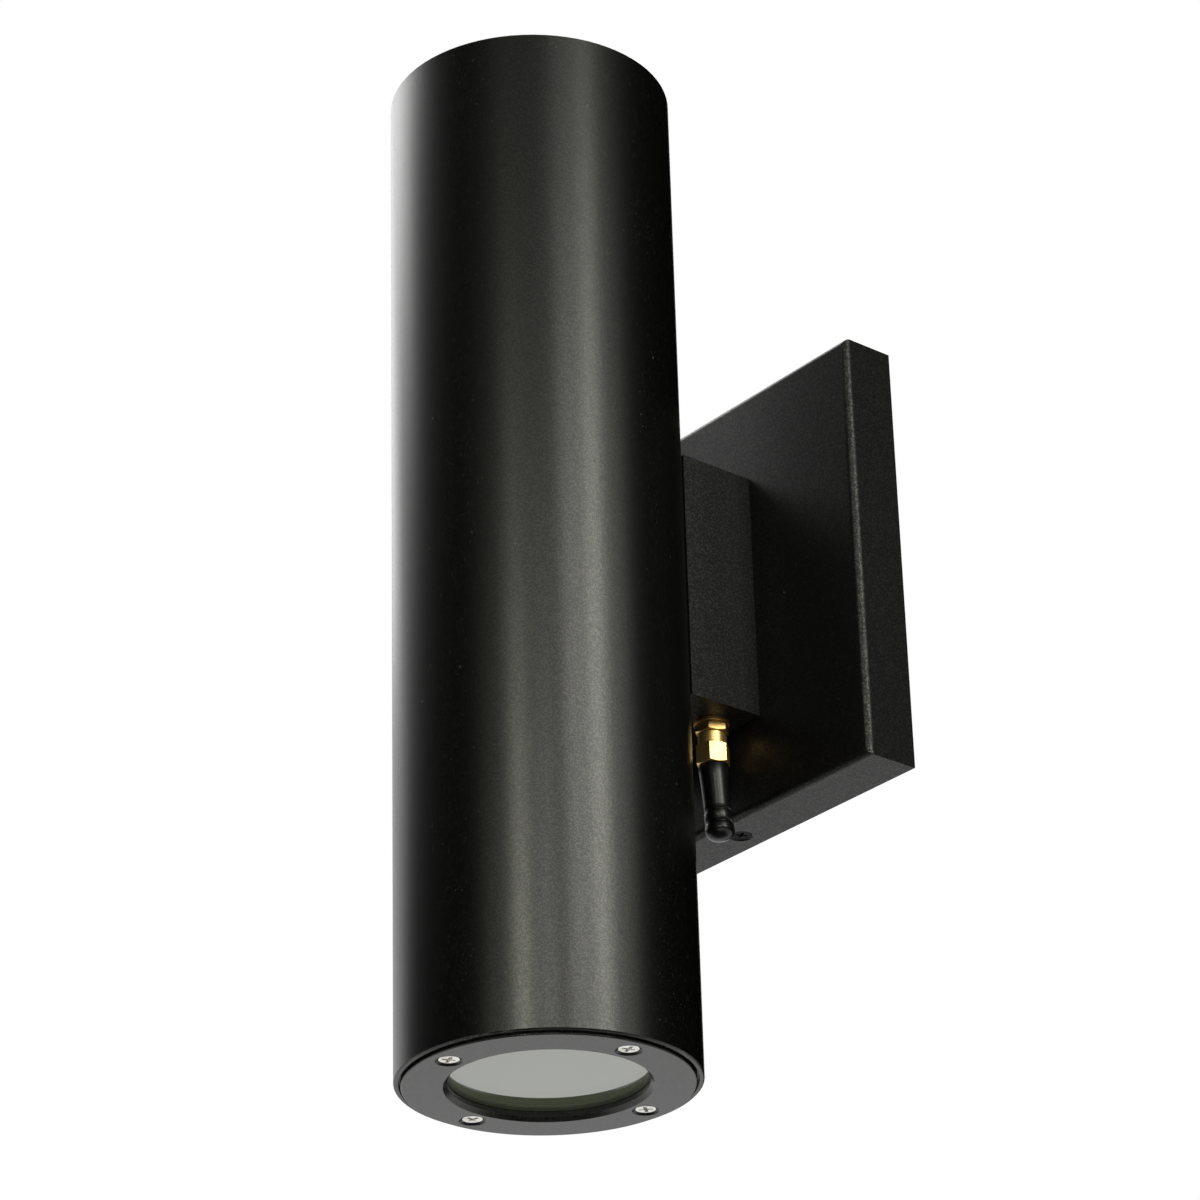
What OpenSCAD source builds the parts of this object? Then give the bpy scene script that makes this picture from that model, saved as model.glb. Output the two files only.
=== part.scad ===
// Outdoor wall sconce: an up-and-down cylinder on a short arm and a folded back plate.
// The wall is the plane y = 0, the light stands out towards -Y, and z = 0 is its mid-height.

/* [Back plate] */
// Width of the back plate
plate_w = 123.5; // [100:0.5:160]
// Height of the back plate
plate_h = 120.2; // [114:0.2:160]
// Depth of the back plate's folded sides
plate_d = 16; // [14.5:0.1:24]
// Thickness of the back plate's sheet
plate_t = 1.5; // [1:0.1:1.8]
// Outer radius of the fold round the plate's front
plate_fold_r = 2; // [1.9:0.1:5]

/* [Arm] */
// Width of the arm
arm_w = 43.6; // [41:0.2:60]
// Height of the arm
arm_h = 69.8; // [68:0.2:90]
// Thickness of the arm's walls
arm_t = 1.5; // [1:0.1:2]
// Gap between the tube's back and the plate's front
standoff = 17.1; // [16.5:0.1:40]

/* [Tube] */
// Outside diameter of the tube
tube_d = 76.2; // [74:0.1:90]
// Length of the tube
tube_l = 281.9; // [262:0.1:340]
// Thickness of the tube's wall
tube_t = 1.2; // [0.8:0.1:1.8]
// Chamfer on the tube's outer edges
tube_edge = 0.3; // [0.1:0.05:0.6]

/* [Lens ring] */
// Gap between the ring's edge and the tube's wall
ring_gap = 0.6; // [0.3:0.05:0.8]
// Thickness of the ring
ring_t = 2.5; // [2:0.1:4]
// How far the ring stands out of the tube's end
ring_proud = 0.8; // [0:0.1:1.4]
// Diameter of the lens hole
lens_hole_d = 49.8; // [46:0.2:50.4]
// Chamfer round the lens hole
lens_chamfer = 1.1; // [0.4:0.1:1.4]
// Chamfer on the ring's outer edge
ring_edge = 0.2; // [0.1:0.05:0.4]
// Radius of the circle that the ring's screws lie on
ring_screw_r = 30.7; // [30.4:0.1:31.4]
// Diameter of the countersinks in the ring
ring_csk_d = 6.9; // [6:0.1:7.2]

/* [Lens] */
// Thickness of the glass
glass_t = 3; // [2:0.1:4]
// How far the glass reaches behind the ring
glass_lap = 2.7; // [2:0.1:2.8]
// Thickness of the gasket's lips
gasket_lip_t = 0.7; // [0.5:0.1:1]
// Thickness of the gasket round the glass's edge
gasket_wall = 1; // [0.6:0.1:1.1]
// How much of the gasket shows inside the lens hole
gasket_show = 0.5; // [0:0.1:1.5]

/* [End frame] */
// Gap between an end frame and the tube's bore
frame_fit = 0.05; // [0.02:0.01:0.1]
// Thickness of the end frame's flange
frame_flange_t = 3; // [2:0.1:4]
// Thickness of the end frame's skirt, cup and shelf
frame_wall_t = 1.5; // [1.2:0.1:2]
// Length of the end frame along the tube
frame_l = 12; // [10:0.5:20]
// Diameter of the screw bosses
boss_d = 7; // [6:0.1:8]
// Length of the screw bosses
boss_l = 8; // [6.5:0.1:10]

/* [Lamp] */
// Diameter of the lamp
lamp_d = 50; // [46:0.5:50.5]
// Length of the lamp without its pins
lamp_l = 49; // [44:0.5:52]
// Distance from the glass to the lamp
lamp_inset = 3.6; // [2.5:0.1:5]
// Distance between the lamp's two pins
pin_gap = 10; // [9:0.5:10]
// Length of the lamp's pins
pin_l = 6.5; // [5:0.1:7]
// Diameter of the lamp pins' heads
pin_head_d = 5; // [4:0.1:5]

/* [Lampholder] */
// Diameter of the lampholder's body
holder_d = 26; // [24:0.5:28]
// Height of the lampholder
holder_h = 20; // [17:0.5:24]
// Width of the lampholder's foot
holder_foot_w = 20; // [16:0.5:22]
// Distance between the lampholder's screws
holder_screw_gap = 33; // [33:0.5:36]
// Thickness of the lampholder's foot
holder_foot_t = 3; // [2.5:0.1:4]

/* [Lamp frame] */
// Width of the strip that carries the lampholders
strip_w = 30; // [27:0.5:36]
// Thickness of that strip
strip_t = 1.5; // [1.2:0.1:2]
// Outer radius of the strip's folds
strip_fold_r = 3; // [2.2:0.1:4]
// Height of the saddle block
saddle_h = 64; // [63.5:0.5:70]

/* [Tie bolts] */
// Distance between the two tie bolts
tie_gap = 54; // [53:0.1:55]
// Diameter of the tie bolts
tie_d = 4; // [3:0.5:4]
// Diameter of the tie bolts' heads
tie_head_d = 8; // [7:0.1:8]
// Height of the tie bolts' heads
tie_head_h = 2.7; // [2:0.1:3.2]
// Size of the tie nuts across their flats
tie_nut_af = 7; // [6:0.1:7.4]
// Thickness of the tie nuts
tie_nut_t = 3.2; // [2.4:0.1:3.6]
// Outside diameter of the tie washers
tie_washer_d = 9; // [8.4:0.1:10]
// Thickness of the tie washers
tie_washer_t = 0.8; // [0.5:0.1:1.2]
// How far a tie bolt stands out of its nut
tie_tail = 0.5; // [0.2:0.1:1]

/* [Wire holes] */
// Height of the wire holes from mid-height
wire_z = -13.5; // [-13.8:0.1:-13.2]
// Diameter of the wire hole into the tube
wire_hole_d = 12; // [11:0.1:12.4]
// Diameter of the wire hole in the back plate
plate_hole_d = 14; // [12:0.1:14.6]
// Thickness of the bushings' walls
bushing_t = 1.2; // [0.8:0.1:1.5]
// How far a bushing's rim reaches past its hole
bushing_rim = 1.3; // [0.8:0.1:1.5]

/* [Receiver] */
// Width of the receiver
module_w = 32; // [28:0.5:36]
// Height of the receiver
module_h = 25; // [22:0.5:26]
// Depth of the receiver
module_d = 16; // [14:0.5:20]
// Height of the receiver's lower face from mid-height
module_z = -4; // [-4.4:0.1:-3.6]
// Thickness of the foam pad
pad_t = 1; // [0.6:0.1:2]

/* [Wall strap] */
// Width of the wall strap
strap_w = 22; // [18:0.5:26]
// Thickness of the wall strap
strap_t = 2; // [1.5:0.1:2.5]
// Outer radius of the strap's folds
strap_fold_r = 3.2; // [2.7:0.1:4]
// Gap between the strap's tabs and the plate's sides
strap_play = 0.3; // [0.2:0.05:0.6]
// Depth of the strap's tabs from the wall
strap_tab_d = 12; // [11:0.1:12.5]
// Distance between the wall box's screws
box_gap = 88.9; // [83:0.1:88.9]
// Width of the slots for the wall box's screws
slot_w = 4.6; // [4:0.1:5]
// End-to-end length of those slots
slot_l = 12; // [8:0.5:12]
// Diameter of the strap's centre hole
strap_hole_d = 10.5; // [8:0.1:13]
// Height of the ground screw from mid-height
ground_z = -20; // [-24:0.5:-16]
// Thread diameter of the ground screw
ground_d = 4; // [3.5:0.1:5]
// Size of the ground screw's head across its flats
ground_af = 7; // [6.4:0.1:8]

/* [Plate screws] */
// Distance of the plate's screws from the wall
plate_screw_y = 7.2; // [6.8:0.1:7.8]
// Sideways place of the plate's screws
plate_screw_x = 2.8; // [-4:0.1:4]
// Diameter of the plate screws' heads
plate_head_d = 6.4; // [6:0.1:6.8]
// Thread diameter of the plate's screws
plate_screw_d = 3.5; // [3.5:0.1:4]
// Length of the plate's screws
plate_screw_l = 9; // [7:0.5:12]

/* [Small screws] */
// Diameter of the ring screws' heads
ring_head_d = 5.3; // [5:0.1:5.8]
// Thread diameter of the ring's and lampholders' screws
small_screw_d = 3; // [2.5:0.1:3]
// Length of the ring's screws
ring_screw_l = 9; // [6:0.5:10]
// Length of the lampholders' screws
holder_screw_l = 7; // [5.5:0.5:9]
// Gap round a screw in its through hole
screw_play = 0.2; // [0.1:0.05:0.3]
// Gap between a thread and its tapped hole
thread_fit = 0.05; // [0.02:0.01:0.08]

/* [Antenna] */
// Sideways place of the antenna
antenna_x = 11; // [8:0.1:12]
// Distance from the antenna's axis to the plate's front
antenna_y = 7.2; // [6.2:0.1:7.4]
// Diameter of the antenna socket's thread
jack_d = 6.35; // [6.2:0.01:6.4]
// How far the socket reaches below the arm
jack_reach = 9; // [8:0.1:9.2]
// Size of the brass hexagons across their flats
hex_af = 8; // [7.6:0.1:8.4]
// Diameter of the washer under the arm
washer_d = 9.4; // [9:0.1:10.4]
// Thickness of that washer
washer_t = 0.95; // [0.6:0.05:1.2]
// Thickness of the nut under the washer
nut_t = 2.6; // [2:0.1:3]
// Gap between that nut and the coupling nut
coupling_gap = 0.15; // [0.1:0.05:0.4]
// Diameter of the coupling nut's collar
collar_d = 7.6; // [7.3:0.05:7.8]
// Length of the coupling nut's collar
collar_l = 2.95; // [2:0.05:4]
// Length of the coupling nut's hexagon
coupling_hex_l = 5.85; // [5:0.05:7]
// Turn of the brass hexagons about the antenna's axis
hex_turn = 12.5; // [0:0.5:60]
// Gap between the coupling nut and the rubber
rubber_gap = 0.3; // [0.25:0.05:0.6]
// Diameter of the rubber at its top
rubber_top_d = 8; // [7.6:0.1:8.6]
// Diameter of the rubber above its grooves
rubber_neck_d = 7.2; // [6.6:0.1:7.6]
// Length of the rubber's taper
rubber_taper_l = 12.5; // [8:0.1:16]
// Diameter of the bead between the grooves
bead_d = 7.5; // [7:0.1:8]
// Length of the bead
bead_l = 2.7; // [2:0.1:3.5]
// Width of a groove
groove_w = 0.5; // [0.3:0.05:0.8]
// Depth of a groove
groove_d = 0.45; // [0.2:0.05:0.6]
// Diameter of the ball end
ball_d = 7.8; // [7.4:0.1:8.6]
// Length of the ball end
ball_l = 4.4; // [4:0.1:7]
// Lean of the rubber from the antenna's axis
rubber_lean = 2.5; // [0:0.1:2.5]

/* [Hidden] */
$fn = 96;

close_fit = 0.05;
head_fit = 0.05;
running_fit = 0.1;
bushing_fit = 0.1;

tube_r = tube_d / 2;
bore_r = tube_r - tube_t;
axis_y = -(plate_d + standoff + tube_r);
lens_hole_r = lens_hole_d / 2;
ring_r = bore_r - ring_gap;
ring_in = ring_t - ring_proud;
glass_r = lens_hole_r + glass_lap;
glass_in = ring_in + gasket_lip_t;
gasket_groove_r = glass_r + close_fit;
gasket_r = gasket_groove_r + gasket_wall;
gasket_t = glass_t + 2 * gasket_lip_t;
gasket_play = 0.1;
shelf_r = lamp_d / 2 + 1;
shelf_in = ring_in + gasket_t;
lamp_in = glass_in + glass_t + lamp_inset;
holder_gap = 0.3;
socket_play = 0.3;
holder_in = lamp_in + lamp_l + holder_gap;
foot_in = holder_in + holder_h;
small_r = small_screw_d / 2;
holder_head_d = 5.6;
holder_head_h = 2;

// The strip lies against the saddle, whose round back lies in the tube and keeps a wall round the bolts.
strip_half = strip_w / 2;
saddle_edge = 0.4;
saddle_wall = 2.6;
tab_margin = 4;
lead_hole_d = 12;
web_back = axis_y + sqrt(bore_r * bore_r - strip_half * strip_half) - saddle_edge;
web_front = web_back - strip_t;
saddle_r = bore_r - frame_fit;
tab_z = tube_l / 2 - foot_in;
tab_tip = axis_y - holder_screw_gap / 2 - tab_margin;

plate_in = -plate_d + plate_t;
washer_in = plate_in + tie_washer_t;
nut_in = washer_in + tie_nut_t;
tie_l = nut_in + tie_tail - web_front;
bushing_r = wire_hole_d / 2 - bushing_fit;
plate_bushing_r = plate_hole_d / 2 - bushing_fit;

// The arm's square-cut side walls touch the tube at their inner edges.
arm_fit = 0.05;
arm_in_w = arm_w / 2 - arm_t;
arm_front = axis_y + sqrt(tube_r * tube_r - arm_in_w * arm_in_w) + arm_fit;

tab_out = plate_h / 2 - plate_t - strap_play;

jack_r = jack_d / 2;
jack_play = 0.1;
antenna_at = [antenna_x, -plate_d - antenna_y, -arm_h / 2];
nut_top = washer_t;
coupling_top = washer_t + nut_t + coupling_gap;
coupling_l = collar_l + coupling_hex_l;
coupling_end = coupling_top + coupling_l;
thread_bore_r = jack_r + thread_fit;
ferrule_r = 2.65;
ferrule_rim_r = thread_bore_r - running_fit;
ferrule_top = jack_reach + close_fit;
ferrule_rim_t = 1;
ferrule_sunk = 5.5;
shoulder_top = ferrule_top + ferrule_rim_t + running_fit;
ferrule_end = coupling_end + ferrule_sunk;
insulator_r = 2.2;
contact_r = 0.7;
contact_gap = 0.2;
pin_r = 0.45;
pin_reach = 2.3;
rubber_top = coupling_end + rubber_gap;
lean_dir = 50;

lead_r = 1;
lead_sides = 8;
lead_spread = 9;
lead_exit = 3.5;
lead_y = web_front - pad_t - module_d / 2;
coax_r = 0.9;
barrel_r = 2;
barrel_l = 6;
seal_t = 0.8;
seal_w = 1.5;
jack_flange_t = 2;
coax_start = arm_t + seal_t + jack_flange_t + barrel_l;

black_coat = "#1b1b1b";
steel = "#b9bcbf";
zinc = "#9fa3a6";
gold = "#d8a436";
ptfe = "#f2f2ee";
black_plastic = "#202020";

// A rectangle from x = 0 with round corners on its x = 0 side.
module fold2d(height, depth, r) {
    translate([r, -height / 2]) square([depth - r, height]);
    translate([0, r - height / 2]) square([depth, height - 2 * r]);
    for (side = [-1, 1]) translate([r, side * (height / 2 - r)]) circle(r);
}

// Stands a flat shape on edge: its x runs along +Y, its y along +Z, and it is width thick along X.
module along_x(width) {
    rotate([90, 0, 90]) linear_extrude(width, center = true) children();
}

// The same with the flat shape's y across X, and height thick along Z.
module along_z(height) {
    rotate([0, 0, 90]) linear_extrude(height, center = true) children();
}

// A strip folded into a C: its web is at y = 0 and its two tabs reach to y = depth.
module c_strip(width, thickness, height, depth, r) {
    along_x(width) difference() {
        fold2d(height, depth, r);
        translate([thickness, 0]) fold2d(height - 2 * thickness, depth, r - thickness);
    }
}

module pan_block(width, height, depth, r) {
    intersection() {
        along_x(width) fold2d(height, depth, r);
        along_z(height) fold2d(width, depth, r);
    }
}

// A cylinder along Y from y = a to y = b.
module y_cyl(r, a, b) {
    translate([0, b, 0]) rotate([90, 0, 0]) cylinder(r = r, h = b - a);
}

module at_ties() {
    for (side = [-1, 1]) translate([0, 0, side * tie_gap / 2]) children();
}

// One end of the tube: z = 0 is the tube's end and +Z points into the tube.
module at_end(top) {
    translate([0, axis_y, 0]) mirror([0, 0, top ? 1 : 0]) translate([0, 0, -tube_l / 2]) children();
}

module at_ring_screws() {
    for (a = [0 : 90 : 270]) rotate([0, 0, a]) translate([ring_screw_r, 0, 0]) children();
}

// The antenna's axis: z = 0 is the arm's underside and +Z points down, away from the arm.
module at_antenna() {
    translate(antenna_at) mirror([0, 0, 1]) children();
}

module phillips(size, depth) {
    for (a = [45, 135]) rotate([0, 0, a])
        translate([-size / 2, -size / 10, -0.1]) cube([size, size / 5, depth + 0.1]);
}

// A flat-head screw with its head's top at z = 0 and its tip towards +Z.
module flat_screw(head_d, shank_d, length) {
    cone_h = (head_d - shank_d) / 2;
    difference() {
        union() {
            cylinder(d1 = head_d, d2 = shank_d, h = cone_h);
            translate([0, 0, cone_h / 2]) cylinder(d = shank_d, h = length - cone_h / 2);
        }
        phillips(head_d * 0.56, cone_h * 0.9);
    }
}

// A countersunk hole with its mouth at z = 0.
module flat_hole(mouth_d, shank_d, depth) {
    cone_h = (mouth_d - shank_d) / 2;
    cylinder(d1 = mouth_d, d2 = shank_d, h = cone_h);
    translate([0, 0, -0.5]) cylinder(d = shank_d, h = depth + 1);
}

// A pan-head screw with its head below z = 0 and its shank towards +Z.
module pan_screw(head_d, head_h, shank_d, length) {
    difference() {
        union() {
            translate([0, 0, -head_h * 0.6]) cylinder(d = head_d, h = head_h * 0.6);
            translate([0, 0, -head_h]) cylinder(d1 = head_d * 0.7, d2 = head_d, h = head_h * 0.4);
            cylinder(d = shank_d, h = length);
        }
        translate([0, 0, -head_h]) phillips(head_d * 0.5, head_h * 0.6);
    }
}

// A hexagonal prism whose corners are turned down to a cone at one or both ends.
module chamfered_hex(across, height, both) {
    corner = across / cos(30);
    end_r = across * 0.465;
    wide_r = corner / 2 + 0.4;
    cone_h = (wide_r - end_r) * tan(30);
    intersection() {
        rotate([0, 0, -hex_turn]) cylinder(d = corner, h = height, $fn = 6);
        rotate_extrude() polygon([[0, 0], [end_r, 0], [wide_r, cone_h],
            [wide_r, height - (both ? cone_h : 0)], [both ? end_r : wide_r, height], [0, height]]);
    }
}

// Points of a curve from a to d that leaves towards b and arrives from c.
function curve(a, b, c, d, n) = [for (i = [0 : n]) let (t = i / n, u = 1 - t)
    u * u * u * a + 3 * u * u * t * b + 3 * u * t * t * c + t * t * t * d];
function unit(v) = v / norm(v);
function heading(p, i) = unit(p[min(i + 1, len(p) - 1)] - p[max(i - 1, 0)]);
function ring_points(p, i, way, r) = let (
    n1 = unit(cross([1, 0, 0], way)),
    n2 = cross(way, n1)
) [for (k = [0 : lead_sides - 1]) let (a = 360 * k / lead_sides)
    p[i] + r * (cos(a) * n1 + sin(a) * n2)];

// A wire through the points p, with its two ends square to first and last.
module wire(p, r, first, last) {
    n = len(p);
    s = lead_sides;
    rings = [for (i = [0 : n - 1])
        each ring_points(p, i, i == 0 ? first : i == n - 1 ? last : heading(p, i), r)];
    sides = [for (i = [0 : n - 2], k = [0 : s - 1]) let (a = i * s + k, b = i * s + (k + 1) % s)
        [[a, a + s, b + s], [a, b + s, b]]];
    start = [for (k = [1 : s - 2]) [0, k, k + 1]];
    end = [for (k = [1 : s - 2]) [(n - 1) * s, (n - 1) * s + k + 1, (n - 1) * s + k]];
    polyhedron(points = rings, faces = concat([for (pair = sides) each pair], start, end));
}

module tube_housing() {
    half = tube_l / 2;
    color(black_coat) difference() {
        translate([0, axis_y, 0]) rotate_extrude() polygon([
            [bore_r, -half], [tube_r - tube_edge, -half], [tube_r, tube_edge - half],
            [tube_r, half - tube_edge], [tube_r - tube_edge, half], [bore_r, half]]);
        at_ties() y_cyl(tie_d / 2 + screw_play, axis_y, 0);
        translate([0, 0, wire_z]) y_cyl(wire_hole_d / 2, axis_y, 0);
    }
}

module arm_box() {
    length = -plate_d - arm_front;
    color(black_coat) difference() {
        translate([-arm_w / 2, arm_front, -arm_h / 2]) cube([arm_w, length, arm_h]);
        translate([arm_t - arm_w / 2, arm_front - 1, arm_t - arm_h / 2])
            cube([arm_w - 2 * arm_t, length + 2, arm_h - 2 * arm_t]);
        translate([0, axis_y, -arm_h]) cylinder(r = tube_r + arm_fit, h = 2 * arm_h);
        at_antenna() translate([0, 0, -arm_t - 1]) cylinder(r = jack_r + jack_play, h = arm_t + 2);
    }
}

module back_plate() {
    color(black_coat) difference() {
        translate([0, -plate_d, 0]) pan_block(plate_w, plate_h, plate_d, plate_fold_r);
        translate([0, plate_in, 0]) pan_block(plate_w - 2 * plate_t, plate_h - 2 * plate_t,
            plate_d, plate_fold_r - plate_t);
        at_ties() y_cyl(tie_d / 2 + screw_play, -plate_d - 1, plate_in + 1);
        translate([0, 0, wire_z]) y_cyl(plate_hole_d / 2, -plate_d - 1, plate_in + 1);
        for (top = [0, 1]) mirror([0, 0, top]) translate([plate_screw_x, -plate_screw_y, -plate_h / 2])
            flat_hole(plate_head_d + 2 * head_fit, plate_screw_d + 2 * screw_play, plate_t);
    }
}

module wall_strap() {
    burr_t = 1.5;
    burr_h = 1.5;
    color(zinc) difference() {
        union() {
            mirror([0, 1, 0]) c_strip(strap_w, strap_t, 2 * tab_out, strap_tab_d, strap_fold_r);
            for (top = [0, 1]) mirror([0, 0, top]) translate([plate_screw_x, -plate_screw_y,
                strap_t / 2 - tab_out]) cylinder(r = plate_screw_d / 2 + burr_t, h = strap_t / 2 + burr_h);
        }
        for (top = [0, 1]) mirror([0, 0, top]) translate([plate_screw_x, -plate_screw_y, -tab_out - 1])
            cylinder(r = plate_screw_d / 2 + thread_fit, h = strap_t + burr_h + 2);
        for (side = [-1, 1]) translate([0, 0, side * box_gap / 2]) {
            for (way = [-1, 1]) translate([0, 0, way * (slot_l - slot_w) / 2])
                y_cyl(slot_w / 2, -strap_t - 1, 1);
            translate([-slot_w / 2, -strap_t - 1, (slot_w - slot_l) / 2])
                cube([slot_w, strap_t + 2, slot_l - slot_w]);
        }
        y_cyl(strap_hole_d / 2, -strap_t - 1, 1);
        translate([0, 0, ground_z]) y_cyl(ground_d / 2 + thread_fit, -strap_t - 1, 1);
    }
}

module ground_screw() {
    head_h = 2.4;
    rim_h = 0.8;
    rim_w = 1;
    slit_w = 1;
    slit_d = 1;
    color("#2f7d3a") translate([0, -strap_t, ground_z]) rotate([-90, 0, 0]) difference() {
        union() {
            cylinder(d = ground_d, h = strap_t);
            translate([0, 0, -rim_h]) cylinder(r = ground_af / 2 + rim_w, h = rim_h);
            translate([0, 0, -head_h - rim_h]) cylinder(d = ground_af / cos(30), h = head_h + 0.1, $fn = 6);
        }
        translate([-ground_af, -slit_w / 2, -head_h - rim_h - 0.1])
            cube([2 * ground_af, slit_w, slit_d + 0.1]);
    }
}

module plate_screws() {
    color("#1f1f20") for (top = [0, 1]) mirror([0, 0, top])
        translate([plate_screw_x, -plate_screw_y, -plate_h / 2])
            flat_screw(plate_head_d, plate_screw_d, plate_screw_l);
}

module inner_saddle() {
    color(zinc) difference() {
        intersection() {
            translate([0, axis_y, -saddle_h]) cylinder(r = saddle_r, h = 2 * saddle_h);
            union() {
                translate([-strip_half, web_back, -saddle_h / 2]) cube([strip_w, tube_r, saddle_h]);
                at_ties() y_cyl(tie_d / 2 + screw_play + saddle_wall, web_back, web_back + tube_r);
            }
        }
        at_ties() y_cyl(tie_d / 2 + screw_play, axis_y, 0);
        translate([0, 0, wire_z]) y_cyl(wire_hole_d / 2, axis_y, 0);
    }
}

module lamp_frame() {
    depth = web_back - tab_tip;
    color(steel) difference() {
        translate([0, web_back, 0]) mirror([0, 1, 0])
            c_strip(strip_w, strip_t, 2 * tab_z, depth, strip_fold_r);
        at_ties() y_cyl(tie_d / 2 + screw_play, web_front - 1, web_back + 1);
        translate([0, 0, wire_z]) y_cyl(wire_hole_d / 2, web_front - 1, web_back + 1);
        for (top = [false, true]) at_end(top) translate([0, 0, foot_in - 1]) {
            cylinder(d = lead_hole_d, h = strip_t + 2);
            for (side = [-1, 1]) translate([0, side * holder_screw_gap / 2, 0])
                cylinder(r = small_r + thread_fit, h = strip_t + 2);
        }
    }
}

module tie_bolts() {
    color(steel) at_ties() translate([0, web_front, 0]) rotate([-90, 0, 0])
        pan_screw(tie_head_d, tie_head_h, tie_d, tie_l);
}

module tie_washers() {
    color(steel) at_ties() difference() {
        y_cyl(tie_washer_d / 2, plate_in, washer_in);
        y_cyl(tie_d / 2 + thread_fit, plate_in - 1, washer_in + 1);
    }
}

module tie_nuts() {
    color(steel) at_ties() difference() {
        translate([0, nut_in, 0]) rotate([90, 30, 0])
            cylinder(d = tie_nut_af / cos(30), h = tie_nut_t, $fn = 6);
        y_cyl(tie_d / 2 + thread_fit, washer_in - 1, nut_in + 1);
    }
}

module bushing(r, front, back) {
    difference() {
        union() {
            y_cyl(r, front - bushing_t, back + 1);
            y_cyl(r + bushing_fit + bushing_rim, front - bushing_t, front);
        }
        y_cyl(r - bushing_t, front - bushing_t - 1, back + 2);
    }
}

module tube_bushing() {
    color(black_plastic) translate([0, 0, wire_z]) bushing(bushing_r, web_front, axis_y + tube_r);
}

module plate_bushing() {
    color(black_plastic) translate([0, 0, wire_z]) bushing(plate_bushing_r, -plate_d, plate_in);
}

module control_module() {
    corner_r = 2;
    lid_t = 1.2;
    lid_inset = 0.6;
    back = web_front - pad_t;
    module slab(shrink, front, thickness) {
        half_w = module_w / 2 - shrink;
        half_h = module_h / 2 - shrink;
        for (x = [-1, 1], z = [-1, 1]) translate([x * (half_w - corner_r), 0, z * (half_h - corner_r)])
            y_cyl(corner_r, front, front + thickness);
        translate([corner_r - half_w, front, -half_h])
            cube([2 * (half_w - corner_r), thickness, 2 * half_h]);
        translate([-half_w, front, corner_r - half_h])
            cube([2 * half_w, thickness, 2 * (half_h - corner_r)]);
    }
    color(black_plastic) translate([0, 0, module_z + module_h / 2]) {
        slab(0, back - module_d + lid_t, module_d - lid_t);
        slab(lid_inset, back - module_d, lid_t);
    }
}

module module_pad() {
    inset = 2;
    color("#e6e3da") translate([inset - module_w / 2, web_front - pad_t, module_z + inset])
        cube([module_w - 2 * inset, pad_t, module_h - 2 * inset]);
}

module trim_ring(top) {
    color("#5c5c5a") at_end(top) difference() {
        translate([0, 0, -ring_proud]) rotate_extrude() polygon([
            [lens_hole_r + lens_chamfer, 0], [ring_r - ring_edge, 0], [ring_r, ring_edge],
            [ring_r, ring_t], [lens_hole_r, ring_t], [lens_hole_r, lens_chamfer]]);
        at_ring_screws() translate([0, 0, -ring_proud])
            flat_hole(ring_csk_d, small_screw_d + 2 * screw_play, ring_t);
    }
}

module ring_screws(top) {
    sunk = (ring_csk_d - ring_head_d) / 2 - head_fit;
    color(steel) at_end(top) at_ring_screws() translate([0, 0, sunk - ring_proud])
        flat_screw(ring_head_d, small_screw_d, ring_screw_l);
}

module lens_gasket(top) {
    lip_r = lens_hole_r - gasket_show;
    color("#3a3a38") at_end(top) translate([0, 0, ring_in]) rotate_extrude() polygon([
        [lip_r, 0], [gasket_r, 0], [gasket_r, gasket_t], [lip_r, gasket_t],
        [lip_r, gasket_t - gasket_lip_t], [gasket_groove_r, gasket_t - gasket_lip_t],
        [gasket_groove_r, gasket_lip_t], [lip_r, gasket_lip_t]]);
}

module lens_glass(top) {
    color("#8c8f80") at_end(top) translate([0, 0, glass_in]) cylinder(r = glass_r, h = glass_t);
}

module end_frame(top) {
    out_r = bore_r - frame_fit;
    cup_r = gasket_r + gasket_play;
    shelf_out = shelf_in + frame_wall_t;
    color(zinc) at_end(top) difference() {
        union() {
            rotate_extrude() polygon([
                [cup_r, ring_in], [out_r, ring_in], [out_r, ring_in + frame_l],
                [out_r - frame_wall_t, ring_in + frame_l], [out_r - frame_wall_t, ring_in + frame_flange_t],
                [cup_r + frame_wall_t, ring_in + frame_flange_t], [cup_r + frame_wall_t, shelf_out],
                [shelf_r, shelf_out], [shelf_r, shelf_in], [cup_r, shelf_in]]);
            at_ring_screws() translate([0, 0, ring_in]) cylinder(d = boss_d, h = boss_l);
        }
        translate([0, 0, ring_in - 1]) cylinder(r = cup_r, h = gasket_t + 1);
        translate([0, 0, shelf_in - 1]) cylinder(r = shelf_r, h = boss_l + 2);
        at_ring_screws() cylinder(r = small_r + thread_fit, h = ring_in + boss_l + 1);
    }
}

module lamp(top) {
    r = lamp_d / 2;
    rim_w = 1.6;
    rim_h = 3;
    face_in = 1;
    step_w = 1;
    base_r = 13;
    base_l = 12.7;
    shoulder_r = 16;
    shoulder_l = 4;
    pin_head_l = 2;
    root = 0.5;
    bowl_l = lamp_l - base_l - shoulder_l;
    bowl = [for (a = [0 : 9 : 90])
        [shoulder_r + (r - step_w - shoulder_r) * cos(a), rim_h + (bowl_l - rim_h) * sin(a)]];
    color("#d9d9d4") at_end(top) translate([0, 0, lamp_in]) {
        rotate_extrude() polygon(concat(
            [[0, face_in], [r - rim_w, face_in], [r - rim_w, 0], [r, 0], [r, rim_h]], bowl,
            [[base_r, bowl_l + shoulder_l], [base_r, lamp_l], [0, lamp_l]]));
        for (side = [-1, 1]) translate([side * pin_gap / 2, 0, lamp_l - root]) {
            cylinder(d = pin_head_d * 0.6, h = pin_l + root);
            translate([0, 0, pin_l + root - pin_head_l]) cylinder(d = pin_head_d, h = pin_head_l);
        }
    }
}

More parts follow.
